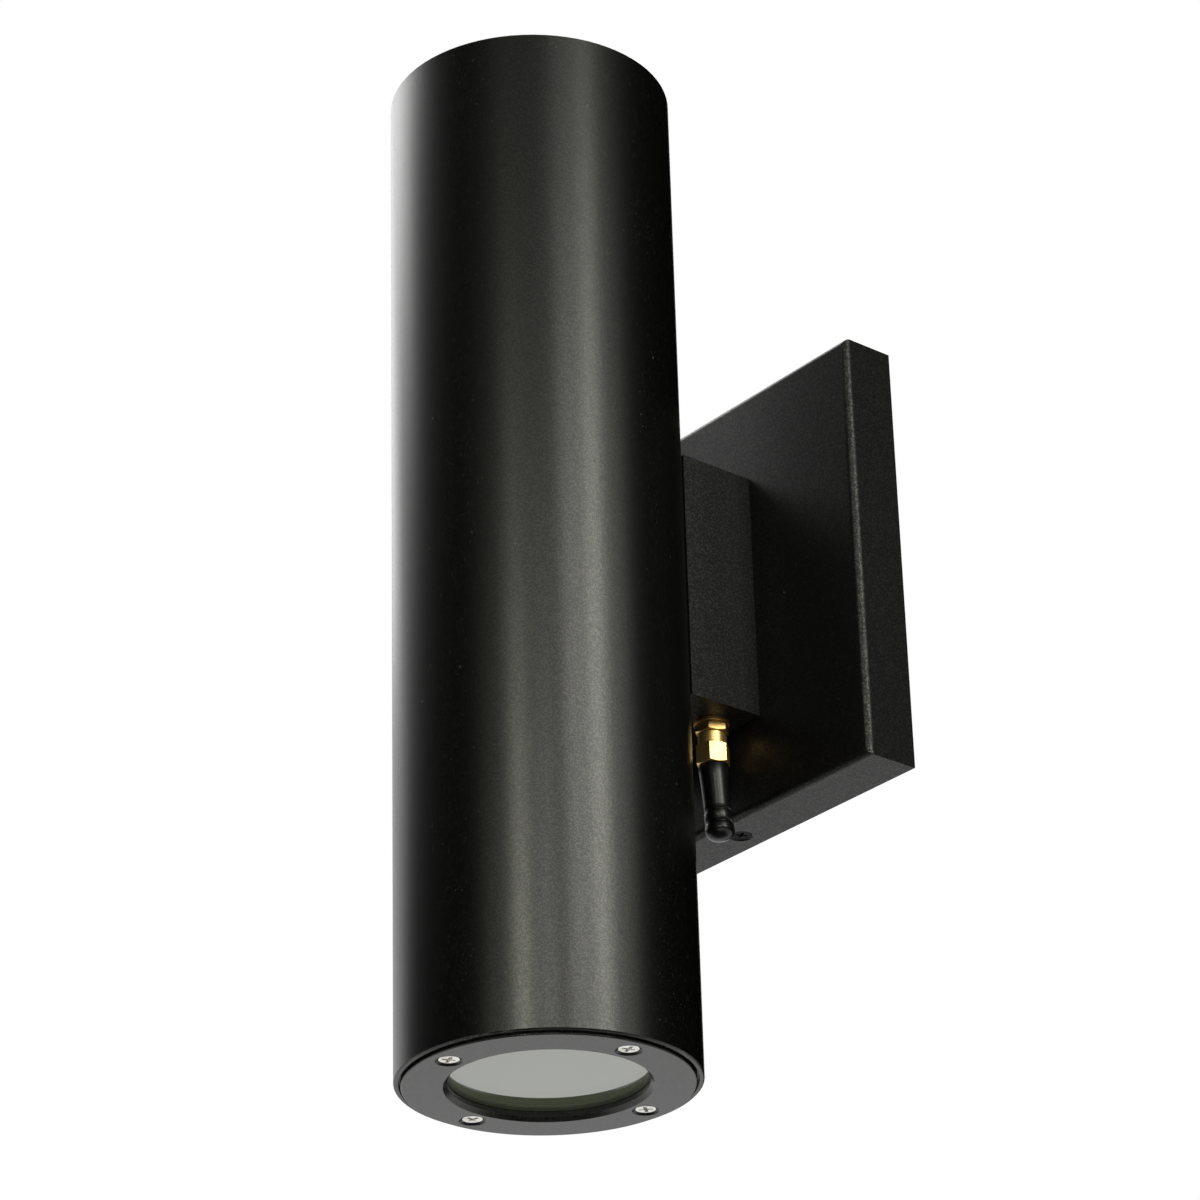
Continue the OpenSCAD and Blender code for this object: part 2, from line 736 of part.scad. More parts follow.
module lampholder(top) {
    color("#e9e7e0") at_end(top) translate([0, 0, holder_in]) difference() {
        union() {
            cylinder(d = holder_d, h = holder_h);
            intersection() {
                translate([0, 0, holder_h - holder_foot_t])
                    cylinder(r = holder_screw_gap / 2 + tab_margin, h = holder_foot_t);
                translate([-holder_foot_w / 2, -holder_screw_gap, 0])
                    cube([holder_foot_w, 2 * holder_screw_gap, holder_h]);
            }
        }
        for (side = [-1, 1]) translate([side * pin_gap / 2, 0, -1])
            cylinder(r = pin_head_d / 2 + socket_play, h = pin_l + socket_play + 1);
        for (side = [-1, 1]) translate([0, side * holder_screw_gap / 2, 0])
            cylinder(r = small_r + screw_play, h = holder_h + 1);
    }
}

module lampholder_screws() {
    color(steel) for (top = [false, true]) at_end(top)
        for (side = [-1, 1]) translate([0, side * holder_screw_gap / 2, foot_in - holder_foot_t])
            pan_screw(holder_head_d, holder_head_h, small_screw_d, holder_screw_l);
}

// Two leads from a lampholder to the near face of the receiver.
module lamp_leads(top) {
    from_z = tab_z;
    to_z = top ? module_z + module_h : -module_z;
    ease = (from_z - to_z) * 0.5;
    for (side = [-1, 1]) color(side < 0 ? "#f4f4f2" : "#242424") mirror([0, 0, top ? 0 : 1]) wire(
        curve([side * lead_exit, axis_y, from_z], [side * lead_exit, axis_y, from_z - ease],
            [side * lead_spread, lead_y, to_z + ease], [side * lead_spread, lead_y, to_z], 12),
        lead_r, [0, 0, -1], [0, 0, -1]);
}

module antenna_jack() {
    back = arm_t + seal_t + jack_flange_t;
    color(gold) at_antenna() difference() {
        union() {
            translate([0, 0, -arm_t - seal_t]) cylinder(r = jack_r, h = arm_t + seal_t + jack_reach);
            translate([0, 0, -back]) chamfered_hex(hex_af, jack_flange_t, false);
            translate([0, 0, -back - barrel_l]) cylinder(r = barrel_r, h = barrel_l);
        }
        translate([0, 0, -arm_t]) cylinder(r = insulator_r + close_fit, h = arm_t + jack_reach + 1);
        translate([0, 0, -back - barrel_l - 1]) cylinder(r = contact_r, h = barrel_l + back);
    }
}

module jack_insulator() {
    color(ptfe) at_antenna() difference() {
        translate([0, 0, -arm_t]) cylinder(r = insulator_r, h = arm_t + jack_reach);
        translate([0, 0, -arm_t - 1]) cylinder(r = contact_r + close_fit, h = arm_t + jack_reach + 2);
    }
}

module jack_contact() {
    color(gold) at_antenna() difference() {
        translate([0, 0, contact_gap - arm_t])
            cylinder(r = contact_r, h = arm_t - contact_gap + jack_reach);
        translate([0, 0, jack_reach - pin_reach - 1]) cylinder(r = pin_r + close_fit, h = pin_reach + 2);
    }
}

module jack_seal() {
    color(black_plastic) at_antenna() difference() {
        translate([0, 0, -arm_t - seal_t]) cylinder(r = jack_r + seal_w, h = seal_t);
        translate([0, 0, -arm_t - seal_t - 1]) cylinder(r = jack_r + close_fit, h = seal_t + 2);
    }
}

module coax_pigtail() {
    start = antenna_at + [0, 0, coax_start];
    gate = [0, axis_y + tube_r, wire_z];
    inner = [0, web_front - 1, wire_z];
    finish = [0, lead_y, module_z];
    color("#7a4a24") wire(concat(
        curve(start, start + [0, 0, 9], gate + [2, 8, 0], gate, 9),
        curve(inner, inner - [0, 5, 0], finish - [0, 0, 6], finish, 7)),
        coax_r, [0, 0, 1], [0, 0, 1]);
}

module antenna_washer() {
    color(gold) at_antenna() difference() {
        cylinder(d = washer_d, h = washer_t);
        translate([0, 0, -1]) cylinder(r = jack_r + jack_play, h = washer_t + 2);
    }
}

module antenna_nut() {
    color(gold) at_antenna() translate([0, 0, nut_top]) difference() {
        chamfered_hex(hex_af, nut_t, true);
        translate([0, 0, -1]) cylinder(r = jack_r + thread_fit, h = nut_t + 2);
    }
}

module coupling_nut() {
    color(gold) at_antenna() difference() {
        union() {
            translate([0, 0, coupling_top]) cylinder(d = collar_d, h = collar_l + 0.5);
            translate([0, 0, coupling_top + collar_l]) chamfered_hex(hex_af, coupling_hex_l, true);
        }
        translate([0, 0, coupling_top - 1])
            cylinder(r = thread_bore_r, h = shoulder_top - coupling_top + 1);
        translate([0, 0, coupling_top]) cylinder(r = ferrule_r + running_fit, h = coupling_l + 1);
    }
}

module antenna_ferrule() {
    color(gold) at_antenna() difference() {
        union() {
            translate([0, 0, ferrule_top]) cylinder(r = ferrule_r, h = ferrule_end - ferrule_top);
            translate([0, 0, ferrule_top]) cylinder(r = ferrule_rim_r, h = ferrule_rim_t);
        }
        translate([0, 0, ferrule_top - 1]) cylinder(r = insulator_r + close_fit, h = ferrule_end);
    }
}

module antenna_insulator() {
    color(ptfe) at_antenna() difference() {
        translate([0, 0, ferrule_top]) cylinder(r = insulator_r, h = ferrule_end - ferrule_top);
        translate([0, 0, ferrule_top - 1]) cylinder(r = pin_r + close_fit, h = ferrule_end);
    }
}

module antenna_pin() {
    tip = 0.4;
    color(gold) at_antenna() translate([0, 0, ferrule_top - pin_reach]) {
        cylinder(r1 = pin_r * 0.5, r2 = pin_r, h = tip);
        translate([0, 0, tip]) cylinder(r = pin_r, h = ferrule_end - ferrule_top + pin_reach - tip);
    }
}

module antenna_rubber() {
    top_r = rubber_top_d / 2;
    neck_r = rubber_neck_d / 2;
    bead_r = bead_d / 2;
    ball_r = ball_d / 2;
    edge = 0.3;
    groove_z = rubber_taper_l;
    bead_z = groove_z + groove_w;
    ball_z = bead_z + bead_l + groove_w;
    crown = [for (a = [0 : 12 : 84]) [ball_r * cos(a), ball_z + ball_l * 0.4 + ball_l * 0.6 * sin(a)]];
    outline = concat([[0, 0], [top_r - edge, 0], [top_r, edge], [neck_r, groove_z - edge],
        [neck_r - edge, groove_z], [neck_r - groove_d, groove_z], [neck_r - groove_d, bead_z],
        [bead_r - edge, bead_z], [bead_r, bead_z + edge], [bead_r, bead_z + bead_l - edge],
        [bead_r - edge, bead_z + bead_l], [neck_r - groove_d, bead_z + bead_l],
        [neck_r - groove_d, ball_z], [ball_r - 2 * edge, ball_z], [ball_r, ball_z + 3 * edge]],
        crown, [[0, ball_z + ball_l]]);
    color("#2a2a2a") at_antenna() difference() {
        translate([0, 0, rubber_top]) rotate([0, 0, lean_dir]) rotate([0, rubber_lean, 0])
            rotate_extrude() polygon(outline);
        translate([0, 0, rubber_top - 1])
            cylinder(r = ferrule_r + close_fit, h = ferrule_end - rubber_top + 1);
    }
}

tube_housing();
arm_box();
back_plate();
wall_strap();
ground_screw();
plate_screws();
inner_saddle();
lamp_frame();
tie_bolts();
tie_washers();
tie_nuts();
tube_bushing();
plate_bushing();
control_module();
module_pad();
trim_ring(false);  // lower_trim_ring
ring_screws(false);  // lower_ring_screws
lens_gasket(false);  // lower_lens_gasket
lens_glass(false);  // lower_glass
end_frame(false);  // lower_end_frame
lamp(false);  // lower_lamp
lampholder(false);  // lower_lampholder
lamp_leads(false);  // lower_lamp_leads
trim_ring(true);  // upper_trim_ring
ring_screws(true);  // upper_ring_screws
lens_gasket(true);  // upper_lens_gasket
lens_glass(true);  // upper_glass
end_frame(true);  // upper_end_frame
lamp(true);  // upper_lamp
lampholder(true);  // upper_lampholder
lamp_leads(true);  // upper_lamp_leads
lampholder_screws();
antenna_jack();
jack_insulator();
jack_contact();
jack_seal();
coax_pigtail();
antenna_washer();
antenna_nut();
coupling_nut();
antenna_ferrule();
antenna_insulator();
antenna_pin();
antenna_rubber();
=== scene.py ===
import math

import bpy
from mathutils import Matrix, Vector


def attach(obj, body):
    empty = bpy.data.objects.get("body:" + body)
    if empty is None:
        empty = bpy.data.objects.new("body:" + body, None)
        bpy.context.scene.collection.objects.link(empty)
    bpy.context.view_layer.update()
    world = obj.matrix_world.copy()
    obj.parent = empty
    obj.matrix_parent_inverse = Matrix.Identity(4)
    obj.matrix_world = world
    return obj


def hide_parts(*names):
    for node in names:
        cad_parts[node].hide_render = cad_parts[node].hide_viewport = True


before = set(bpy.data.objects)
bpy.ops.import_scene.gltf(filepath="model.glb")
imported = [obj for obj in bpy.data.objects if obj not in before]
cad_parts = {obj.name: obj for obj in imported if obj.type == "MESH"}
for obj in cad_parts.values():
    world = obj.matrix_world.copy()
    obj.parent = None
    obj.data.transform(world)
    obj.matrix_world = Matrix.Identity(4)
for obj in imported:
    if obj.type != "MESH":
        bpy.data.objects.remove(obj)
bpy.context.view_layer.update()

MM = 0.001

# Where things stand: the wall is the plane y = 0, and z = 0 is the tube's mid-height.
TUBE_Y = -71.2 * MM
TUBE_END = 140.95 * MM
RING_PROUD = 0.8 * MM
RING_SCREW_CIRCLE = 30.7 * MM
RING_SCREW_SUNK = 0.4 * MM
PLATE_EDGE = 60.1 * MM
PLATE_SCREW_X = 2.8 * MM
PLATE_SCREW_Y = -7.2 * MM
PLATE_SCREW_SUNK = 0.3 * MM

# The antenna hangs from this point of the arm's bottom, straight down.
ANTENNA = Vector((11, -23.2, -34.9)) * MM
SLEEVE_TOP = 12.8 * MM
SLEEVE_LEAN = 3.3  # degrees that the sleeve leans, towards SLEEVE_LEAN_WAY
SLEEVE_LEAN_WAY = 50
HEX_TURN = 21.5  # degrees that the brass hexagons stand further round than their solids
FLANGE_TURN = -12.5
THREAD_PITCH = 25.4 / 36 * MM

# The camera that was fitted to the photo.
CAMERA_AT = (0.7458, -0.6724, -0.4872)
CAMERA_TURN, CAMERA_RISE, CAMERA_ROLL = 50.187, 26.518, -1.583  # degrees
CAMERA_LENS = 124.15  # mm, for a picture 36 mm wide

WHITE = (1, 1, 1)
WARM_WHITE = (1, 1, 0.94)
GREENISH_WHITE = (0.98, 1, 0.86)

# Directions in the studio are counted in degrees to the right of this one, as the light sees them.
FRONT = 48

# Softboxes: name, (degrees right of FRONT, degrees up), distance, width, height, radiance, colour.
LAMPS = (
    ("left_strip", (-14, 15), 1.8, 0.23, 0.30, 23.0, GREENISH_WHITE),
    ("front_softbox", (5, 15), 1.8, 0.28, 0.32, 10.8, WARM_WHITE),
    ("inner_right_softbox", (27, 20), 1.8, 0.34, 0.62, 7.6, WARM_WHITE),
    ("right_softbox", (46, 21), 1.8, 0.34, 0.66, 13.2, (0.985, 1, 0.90)),
    ("outer_right_softbox", (66, 20), 1.8, 0.34, 0.62, 2.2, WARM_WHITE),
    ("far_left_softbox", (-35, 14), 1.8, 0.28, 0.30, 2.2, GREENISH_WHITE),
    ("rear_softbox", (-148, 36), 1.9, 0.8, 0.75, 1.7, WHITE),
    ("left_rear_softbox", (-125, 42), 1.9, 0.7, 0.6, 2.9, WHITE),
    ("top_left_lamp", (-120, 60), 0.6, 0.25, 0.25, 7.0, WHITE),
)

FINISHES = {}


def set_camera():
    turn, rise, roll = (math.radians(a) for a in (CAMERA_TURN, CAMERA_RISE, CAMERA_ROLL))
    ahead = Vector((-math.sin(turn) * math.cos(rise), math.cos(turn) * math.cos(rise), math.sin(rise)))
    level = Vector((math.cos(turn), math.sin(turn), 0))
    above = level.cross(ahead)
    right = math.cos(roll) * level + math.sin(roll) * above
    up = math.cos(roll) * above - math.sin(roll) * level
    data = bpy.data.cameras.new("camera")
    data.sensor_width = 36
    data.lens = CAMERA_LENS
    camera = bpy.data.objects.new("camera", data)
    place = Matrix((right, up, -ahead)).transposed().to_4x4()
    place.translation = CAMERA_AT
    camera.matrix_world = place
    bpy.context.collection.objects.link(camera)
    bpy.context.scene.camera = camera
    bpy.context.scene.view_settings.view_transform = "Standard"


class Level:
    """A value in a finish. An expression on it adds the Math nodes that work it out."""

    def __init__(self, finish, socket):
        self.finish = finish
        self.socket = socket

    def __add__(self, other):
        return self.finish.sum("ADD", self, other)

    def __sub__(self, other):
        return self.finish.sum("SUBTRACT", self, other)

    def __rsub__(self, other):
        return self.finish.sum("SUBTRACT", other, self)

    def __mul__(self, other):
        return self.finish.sum("MULTIPLY", self, other)

    def rise(self, start, end):
        """0 up to start, 1 from end on, and a smooth step between."""
        return self.finish.node("ShaderNodeMapRange", {"interpolation_type": "SMOOTHSTEP"},
                                {"Value": self, "From Min": start, "From Max": end})

    def cap(self):
        return self.finish.sum("MINIMUM", self, 1)


class Finish:
    """The nodes of one material, or of the world."""

    def __init__(self, owner):
        owner.use_nodes = True
        self.owner = owner
        self.tree = owner.node_tree
        self.tree.nodes.clear()

    def node(self, kind, settings=(), sockets=(), out=0):
        made = self.tree.nodes.new(kind)
        for name, value in dict(settings).items():
            setattr(made, name, value)
        for name, value in dict(sockets).items():
            self.give(made.inputs[name], value)
        return Level(self, made.outputs[out]) if made.outputs else made

    def give(self, socket, value):
        if isinstance(value, Level):
            self.tree.links.new(value.socket, socket)
        elif isinstance(value, tuple) and len(value) == 3 and len(socket.default_value) == 4:
            socket.default_value = (*value, 1)
        else:
            socket.default_value = value

    def sum(self, operation, *values):
        return self.node("ShaderNodeMath", {"operation": operation}, enumerate(values))

    def place(self):
        return self.node("ShaderNodeTexCoord", out="Object")

    def height(self):
        return self.node("ShaderNodeSeparateXYZ", (), {0: self.place()}, out="Z")

    def grain(self, size, detail=2.0):
        """An uneven field about 0.5 whose lumps are size metres across."""
        return self.node("ShaderNodeTexNoise", (),
                         {"Vector": self.place(), "Scale": 1 / size, "Detail": detail})

    def crumbs(self, size, at=None):
        """Grains of size metres, each of its own level between 0 and 1."""
        tint = self.node("ShaderNodeTexVoronoi", (),
                         {"Vector": at or self.place(), "Scale": 1 / size}, out="Color")
        return self.node("ShaderNodeSeparateColor", (), {0: tint}, out="Red")

    def specks(self, size, share):
        """1 inside the few spots of a scatter with cells of size metres, and 0 outside."""
        at = self.place()
        near = self.node("ShaderNodeTexVoronoi", (), {"Vector": at, "Scale": 1 / size}, out="Distance")
        chosen = self.crumbs(size, at).rise(1 - share, 1 - share * 0.9)
        return (1 - near.rise(0.15, 0.3)) * chosen

    def mix(self, amount, low, high):
        return self.node("ShaderNodeMix", {"data_type": "RGBA"}, {0: amount, 6: low, 7: high}, out=2)

    def raised(self, height, depth, under=None):
        """The surface's normal with height pressed into it, depth metres deep."""
        sockets = {"Height": height, "Distance": depth, "Strength": 1.0}
        if under:
            sockets["Normal"] = under
        return self.node("ShaderNodeBump", (), sockets)

    def surface(self, **values):
        """The one Principled shader: socket names are written with _ for their spaces."""
        named = {name.replace("_", " "): value for name, value in values.items()}
        self.output(self.node("ShaderNodeBsdfPrincipled", (), named))

    def matte(self, level):
        return self.node("ShaderNodeBsdfDiffuse", (), {"Color": (level, level, level)})

    def glow(self, level):
        return self.node("ShaderNodeEmission", (), {"Color": WHITE, "Strength": level})

    def seen(self):
        """1 for rays of the camera, of a reflection and through glass, and 0 for those that only light."""
        camera, glossy, through = (self.node("ShaderNodeLightPath", out=f"Is {kind} Ray")
                                   for kind in ("Camera", "Glossy", "Transmission"))
        return (camera + glossy + through).cap()

    def output(self, shader, kind="Material"):
        self.node(f"ShaderNodeOutput{kind}", (), {"Surface": shader})


def new_finish(name):
    FINISHES[name] = bpy.data.materials.new(name)
    return Finish(FINISHES[name])


def powder_coat(name, shine, rough, dark, flake, size=0.35 * MM, chipped=None):
    """Near-black satin powder coat: dull crumbs, a brighter flake in four of ten, and orange peel.

    chipped is the height, up and down from the middle, of an edge where the coat is chipped."""
    f = new_finish(name)
    bright = f.crumbs(size).rise(0.58, 0.62)
    lumps = f.grain(size * 1.2, 1.0)
    peel = f.grain(1.2 * MM, 1.0)
    fleck = f.specks(0.9 * MM, 0.03)
    dust = f.specks(1.6 * MM, 0.006)
    pale = (fleck * 0.5 + dust * 0.8).cap()
    grey = f.mix(bright, (dark, dark, dark * 0.93), (flake, flake, flake * 0.95))
    colour = f.mix(pale, grey, (0.05, 0.05, 0.03))
    if chipped:
        edge = f.sum("ABSOLUTE", f.height()).rise(chipped - 0.5 * MM, chipped)
        chips = (f.grain(0.5 * MM) * f.grain(5 * MM, 1.0)).rise(0.33, 0.39) * edge
        colour = f.mix(chips, colour, (0.10, 0.095, 0.075))
    fine = f.raised(lumps, 0.006 * MM)
    f.surface(Base_Color=colour, Metallic=bright * (1 - pale), IOR=shine,
              Roughness=(lumps - 0.5) * 0.05 + rough + pale * 0.2,
              Normal=f.raised(peel, 0.004 * MM, fine))


def metal(name, colour, rough, dull=None, patch=6 * MM, grain=0.4 * MM, depth=0.01 * MM, shiny=1.0):
    """Plain metal: patches that have gone duller, and a fine grain."""
    f = new_finish(name)
    spots = f.grain(patch, 3.0).rise(0.35, 0.7)
    fine = f.grain(grain)
    tone = f.mix(spots, colour, dull or tuple(c * 0.8 for c in colour))
    f.surface(Base_Color=tone, Metallic=shiny, Roughness=spots * 0.12 + (fine - 0.5) * 0.15 + rough,
              Normal=f.raised(fine, depth))


def turned_brass(name):
    """Gold-flashed brass, with turning marks round the antenna's axis and finger-dulled patches."""
    f = new_finish(name)
    rings = f.node("ShaderNodeTexNoise", {"noise_dimensions": "1D"},
                   {"W": f.height() - ANTENNA.z, "Scale": 9000.0, "Detail": 1.0})
    patch = f.grain(2.5 * MM, 3.0).rise(0.45, 0.8)
    tone = f.mix(patch, (0.78, 0.53, 0.19), (0.73, 0.48, 0.17))
    f.surface(Base_Color=tone, Metallic=0.92, Roughness=patch * 0.05 + (rings - 0.5) * 0.06 + 0.33,
              Normal=f.raised(rings, 0.001 * MM))


def moulded(name, colour, rough, grain=0.5 * MM, depth=0.02 * MM, patch=10 * MM, **more):
    """Moulded plastic or rubber with a fine texture and faint flow marks."""
    f = new_finish(name)
    fine = f.grain(grain)
    flow = f.grain(patch)
    tone = f.mix(flow, tuple(c * 0.85 for c in colour), tuple(min(c * 1.15, 0.95) for c in colour))
    f.surface(Base_Color=tone, Roughness=(fine - 0.5) * 0.2 + (flow - 0.5) * 0.1 + rough,
              Normal=f.raised(fine, depth), **more)


def lens_glass(name):
    f = new_finish(name)
    haze = f.grain(20 * MM, 3.0)
    dust = f.specks(2.5 * MM, 0.02)
    f.surface(Base_Color=f.mix(haze, (0.22, 0.25, 0.14), (0.25, 0.28, 0.17)), IOR=1.52,
              Transmission_Weight=0.6, Roughness=haze * 0.02 + dust * 0.2 + 0.01,
              Coat_Weight=1.0, Coat_IOR=1.84, Coat_Roughness=0.02)


def make_finishes():
    for name, edge in (("black_coat", None), ("tube_coat", TUBE_END)):
        powder_coat(name, shine=1.47, rough=0.325, dark=0.0027, flake=0.054, size=0.3 * MM, chipped=edge)
    powder_coat("cast_coat", shine=1.31, rough=0.41, dark=0.004, flake=0.052)
    # Painted light: the arm's coat is the black coat with a lighter base and flake, to brighten the arm's
    # side, which the tube shades.
    powder_coat("arm_coat_painted_light", shine=1.25, rough=0.44, dark=0.011, flake=0.075)
    powder_coat("ring_coat", shine=1.50, rough=0.255, dark=0.010, flake=0.046)
    metal("zinc", (0.60, 0.61, 0.60), 0.34, (0.50, 0.50, 0.46), patch=8 * MM)
    metal("cast_metal", (0.42, 0.42, 0.41), 0.5, grain=0.7 * MM, depth=0.04 * MM)
    metal("steel", (0.86, 0.85, 0.80), 0.16, (0.70, 0.68, 0.60), patch=3 * MM, depth=0.002 * MM)
    # Painted shade: a dark brown, duller finish for the faces of the screws' cross holes, standing in for
    # the shade inside them.
    metal("recess_painted_shade", (0.16, 0.09, 0.045), 0.45, (0.08, 0.045, 0.025), patch=1 * MM, shiny=0.7)
    metal("green_zinc", (0.03, 0.24, 0.07), 0.36, (0.02, 0.16, 0.05), patch=3 * MM, shiny=0.6)
    moulded("black_screw", (0.006, 0.006, 0.006), 0.6, grain=0.4 * MM, patch=2 * MM, IOR=1.25)
    moulded("black_plastic", (0.014, 0.014, 0.014), 0.5, grain=0.6 * MM, depth=0.04 * MM)
    moulded("white_plastic", (0.80, 0.79, 0.75), 0.45)
    moulded("foam", (0.72, 0.69, 0.62), 0.95, grain=1.2 * MM, depth=0.3 * MM)
    moulded("seal_rubber", (0.060, 0.068, 0.042), 0.5)
    moulded("lamp_shell", (0.72, 0.72, 0.69), 0.2, Metallic=0.7)
    moulded("ceramic", (0.80, 0.77, 0.70), 0.4, patch=4 * MM)
    moulded("lead_silicone", (0.72, 0.71, 0.68), 0.5)
    moulded("coax_jacket", (0.16, 0.055, 0.018), 0.28)
    moulded("antenna_rubber", (0.003, 0.003, 0.003), 0.3, grain=0.3 * MM, depth=0.004 * MM, IOR=1.42)
    lens_glass("lens_glass")
    turned_brass("gold_brass")


def clear_selection():
    if bpy.context.object and bpy.context.object.mode != "OBJECT":
        bpy.ops.object.mode_set(mode="OBJECT")
    bpy.ops.object.select_all(action="DESELECT")


def activate(piece):
    """Makes piece the active object and the only one selected."""
    clear_selection()
    bpy.context.view_layer.objects.active = piece
    piece.select_set(True)


def edit_all():
    bpy.ops.object.mode_set(mode="EDIT")
    bpy.ops.mesh.select_all(action="SELECT")


def select(kind, wanted):
    """Goes into edit mode with only the wanted faces, edges or points of the active piece selected."""
    mesh = bpy.context.object.data
    bpy.ops.object.mode_set(mode="EDIT")
    bpy.ops.mesh.select_mode(type=kind)
    bpy.ops.mesh.select_all(action="DESELECT")
    bpy.ops.object.mode_set(mode="OBJECT")
    for part in {"FACE": mesh.polygons, "EDGE": mesh.edges, "VERT": mesh.vertices}[kind]:
        part.select = wanted(part)
    bpy.ops.object.mode_set(mode="EDIT")


def apply(kind, **settings):
    """Puts a modifier on the active piece and applies it."""
    piece = bpy.context.object
    modifier = piece.modifiers.new(kind.lower(), kind)
    for name, value in settings.items():
        setattr(modifier, name, value)
    bpy.ops.object.modifier_apply(modifier=modifier.name)


def cut(tool, how="DIFFERENCE"):
    """Cuts the piece called tool out of the active piece, and throws the tool away."""
    apply("BOOLEAN", operation=how, solver="EXACT", object=tool)
    bpy.data.objects.remove(tool)


def smooth(angle):
    bpy.ops.object.shade_smooth_by_angle(angle=math.radians(angle))


def spin(degrees, axis="Z"):
    return Matrix.Rotation(math.radians(degrees), 4, axis)


def finish_piece(piece, name, slot, body="sconce", stands_for=(), looks=()):
    """Names a piece, puts it on its body, and gives it its slot's finish, or the ones in looks."""
    piece.name = name
    piece.data.name = name
    piece.data.materials.clear()
    for look in looks or [slot]:
        piece.data.materials.append(FINISHES[look])
    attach(piece, body)
    if stands_for:
        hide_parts(*stands_for)


def dressed(node, name, slot, edge, body="sconce", looks=(), turn=0):
    """A merged copy of a solid, with its sharp edges broken and its curves smooth.

    turn swings it about the antenna's axis, in degrees."""
    piece = bpy.data.objects.new(name, bpy.data.objects[node].data.copy())
    piece.data.transform(Matrix.Translation(ANTENNA) @ spin(turn) @ Matrix.Translation(-ANTENNA))
    bpy.context.collection.objects.link(piece)
    activate(piece)
    bpy.ops.mesh.customdata_custom_splitnormals_clear()
    edit_all()
    bpy.ops.mesh.remove_doubles(threshold=0.004 * MM)
    bpy.ops.mesh.dissolve_limited(angle_limit=math.radians(0.2))
    bpy.ops.object.mode_set(mode="OBJECT")
    apply("BEVEL", width=edge, segments=3, limit_method="ANGLE", angle_limit=math.radians(32),
          miter_outer="MITER_ARC")
    smooth(35)
    apply("WEIGHTED_NORMAL", keep_sharp=True, weight=100)
    finish_piece(piece, name, slot, body, [node], looks)


def ringed(outline, segments):
    """A turned piece: one circle is extruded and resized ring by ring along the outline.

    The outline is (radius, height) by (radius, height), in mm."""
    clear_selection()
    outline = [(radius * MM, height * MM) for radius, height in outline]
    before = outline[0]
    bpy.ops.mesh.primitive_circle_add(vertices=segments, radius=before[0], location=(0, 0, before[1]))
    bpy.ops.object.transform_apply(location=True)
    edit_all()
    for radius, height in outline[1:]:
        wider = radius / before[0]
        bpy.ops.mesh.extrude_edges_move(TRANSFORM_OT_translate={"value": (0, 0, height - before[1])})
        bpy.ops.transform.resize(value=(wider, wider, 1), center_override=(0, 0, height))
        before = (radius, height)
    close_turned()
    return bpy.context.object


def close_turned():
    """Merges a turned piece's seams, caps its open ends and points its faces outwards."""
    bpy.ops.mesh.select_all(action="SELECT")
    bpy.ops.mesh.remove_doubles(threshold=0.002 * MM)
    bpy.ops.mesh.select_all(action="DESELECT")
    bpy.ops.mesh.select_mode(type="EDGE")
    bpy.ops.mesh.select_non_manifold()
    bpy.ops.mesh.edge_face_add()
    bpy.ops.mesh.select_all(action="SELECT")
    bpy.ops.mesh.normals_make_consistent(inside=False)
    bpy.ops.object.mode_set(mode="OBJECT")


def add_screw_looks(piece):
    """Adds the two finishes of a screw, or of the tool that cuts it: the head first, then a dark one for
    the cross-shaped hole, which paints shade into it.
    """
    for name in ("steel", "recess_painted_shade"):
        piece.data.materials.append(FINISHES[name])


def cross_tool(size, depth):
    """The driver's cross: a four-armed tool that tapers to its tip."""
    arms = []
    for turn in (0, math.pi / 2):
        clear_selection()
        bpy.ops.mesh.primitive_cube_add(size=1, location=(0, 0, 0))
        add_screw_looks(bpy.context.object)
        bpy.ops.transform.resize(value=(size / 0.75, size * 0.3, 2 * depth))
        bpy.ops.object.transform_apply(location=True, scale=True)
        select("FACE", lambda face: face.normal.z < -0.9)
        bpy.ops.transform.resize(value=(0.5, 0.6, 1), center_override=(0, 0, -depth))
        bpy.ops.object.mode_set(mode="OBJECT")
        bpy.ops.transform.rotate(value=turn, orient_axis="Z", center_override=(0, 0, 0))
        bpy.ops.object.transform_apply(rotation=True)
        arms.append(bpy.context.object)
    cut(arms[0], "UNION")
    tool = bpy.context.object
    # The faces that the tool cuts take the second finish, the painted shade of the cross hole.
    for face in tool.data.polygons:
        face.material_index = 1
    return tool


def flat_screw(head, shank, length, cross):
    """A flat-head screw, head up at z = 0, with a crowned rim, a cross-shaped driver hole and a rolled
    thread.

    Sizes are in mm, and cross is the driver hole's width as a share of the head's."""
    top, side = head / 2, shank / 2
    cone = top - side
    neck = -cone - 0.6
    pitch = 0.5
    outline = [(top - 0.25, 0), (top - 0.08, -0.03), (top, -0.14), (side, -cone - 0.14), (side, neck)]
    z = neck
    while z > -length + 2 * pitch:
        outline += [(side - 0.22, z - pitch * 0.5), (side, z - pitch)]
        z -= pitch
    outline += [(side - 0.3, -length + 0.5), (side - 0.7, -length)]
    screw = ringed(outline, 48)
    add_screw_looks(screw)
    tool = cross_tool(head * cross * MM, cone * 0.95 * MM)
    activate(screw)
    cut(tool)
    apply("BEVEL", width=0.05 * MM, segments=2, limit_method="ANGLE", angle_limit=math.radians(50))
    smooth(40)
    apply("WEIGHTED_NORMAL", keep_sharp=True, weight=100)
    return screw


def copies_at(source, places):
    """Copies of a piece, each moved by its matrix, joined into one. The piece itself is thrown away."""
    made = []
    for place in places:
        copy = bpy.data.objects.new(source.name, source.data.copy())
        bpy.context.collection.objects.link(copy)
        copy.data.transform(place)
        made.append(copy)
    activate(made[0])
    for copy in made:
        copy.select_set(True)
    bpy.ops.object.join()
    bpy.data.objects.remove(source)
    return bpy.context.object


def screw_place(x, y, z, lean):
    """Where a screw's head is, facing down below the middle and up above it, turned by lean degrees."""
    return Matrix.Translation((x, y, z)) @ spin(180 if z < 0 else 0, "X") @ spin(lean)


